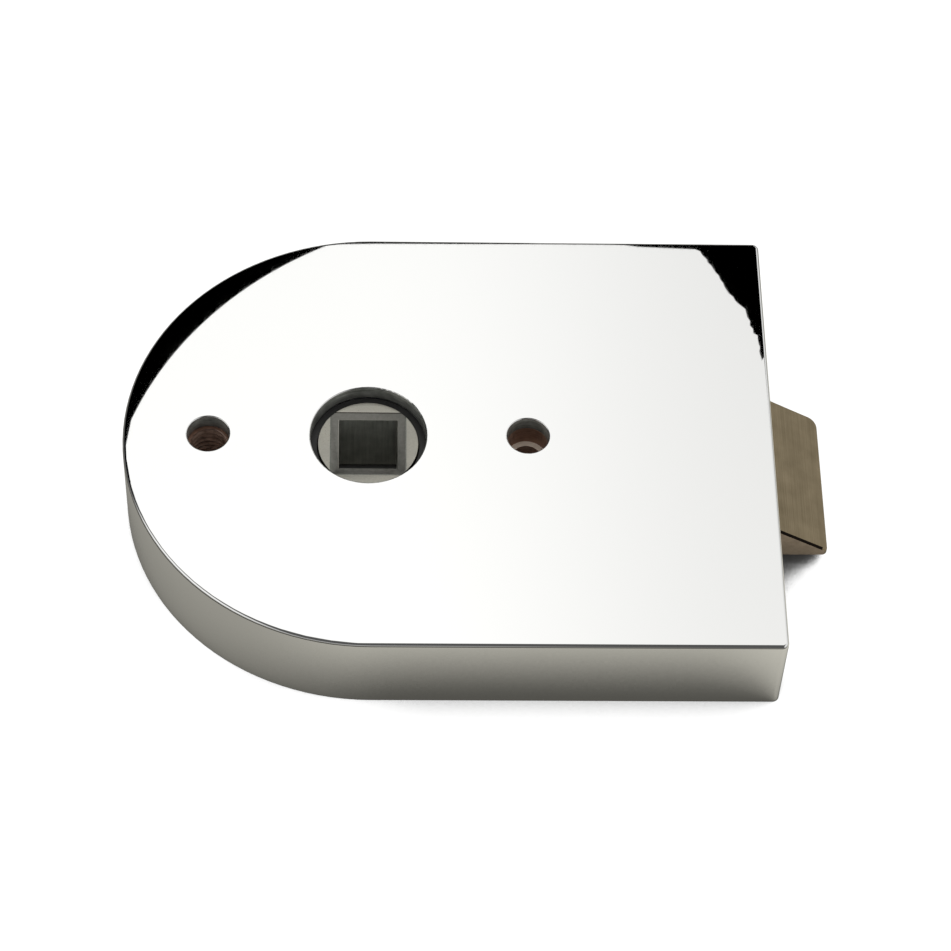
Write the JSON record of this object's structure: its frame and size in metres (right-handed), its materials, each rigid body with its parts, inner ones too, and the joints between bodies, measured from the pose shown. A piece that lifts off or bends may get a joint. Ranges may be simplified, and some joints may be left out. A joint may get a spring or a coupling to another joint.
{
  "type": "glass door latch lock",
  "caption": "D-shaped chrome surface latch lock for a glass door, with a square-socket follower, a sprung bevelled latch and through-fixing holes.",
  "frame": {"origin": "on the follower's axis, in the plane of the glass face", "axes": "+Z out of the door along the spindle, +X towards the strike along the latch's travel, +Y across the lock in the plane of the door"},
  "size_m": [0.0842, 0.059, 0.012],
  "materials": {
    "polished_chrome": "mirror-polished chrome plate on cast zinc",
    "zinc_plated_steel": "zinc-plated pressed steel",
    "steel_screws": "plated steel",
    "pad_rubber": "matt black rubber sheet",
    "sleeve_brass": "turned brass, dulled brown",
    "follower_steel": "sintered steel, bright face, broached socket",
    "black_acetal": "black acetal",
    "white_acetal": "natural white acetal",
    "latch_nickel": "satin nickel plate, warm brown tone",
    "spring_wire": "drawn spring wire"
  },
  "bodies": {
    "case": {"cover": "polished_chrome", "back_plate": "zinc_plated_steel", "glass_pad": "pad_rubber", "cover_screws": "steel_screws", "bearing_plate": "zinc_plated_steel", "spacer_pillars": "zinc_plated_steel", "rear_fixing_sleeve": "sleeve_brass", "front_fixing_sleeve": "sleeve_brass", "lower_follower_bush": "black_acetal", "upper_follower_bush": "black_acetal", "follower_washer": "steel_screws", "upper_latch_rail": "white_acetal", "lower_latch_rail": "white_acetal", "spring_bridge": "zinc_plated_steel", "upper_spring_guide": "steel_screws", "lower_spring_guide": "steel_screws", "upper_latch_spring": "spring_wire", "lower_latch_spring": "spring_wire"},
    "hub": {"follower": "follower_steel"},
    "latch": {"latch_bolt": "latch_nickel", "latch_carriage": "zinc_plated_steel", "latch_rivets": "steel_screws"}
  },
  "joints": [
    {"name": "follower_turn", "type": "hinge", "parent": "case", "child": "hub", "pos_m": [0, 0, 0], "axis": [0, 0, 1], "range_deg": [0, 39.75]},
    {"name": "latch_slide", "type": "slide", "parent": "case", "child": "latch", "axis": [-1, 0, 0], "range_m": [0, 0.0068], "stiffness_N_per_m": 865, "springref_m": -0.005, "deforming": ["upper_latch_spring", "lower_latch_spring"]}
  ],
  "couplings": [
    {"joint": "follower_turn", "follows": "latch_slide", "rad_per_m": 102}
  ]
}
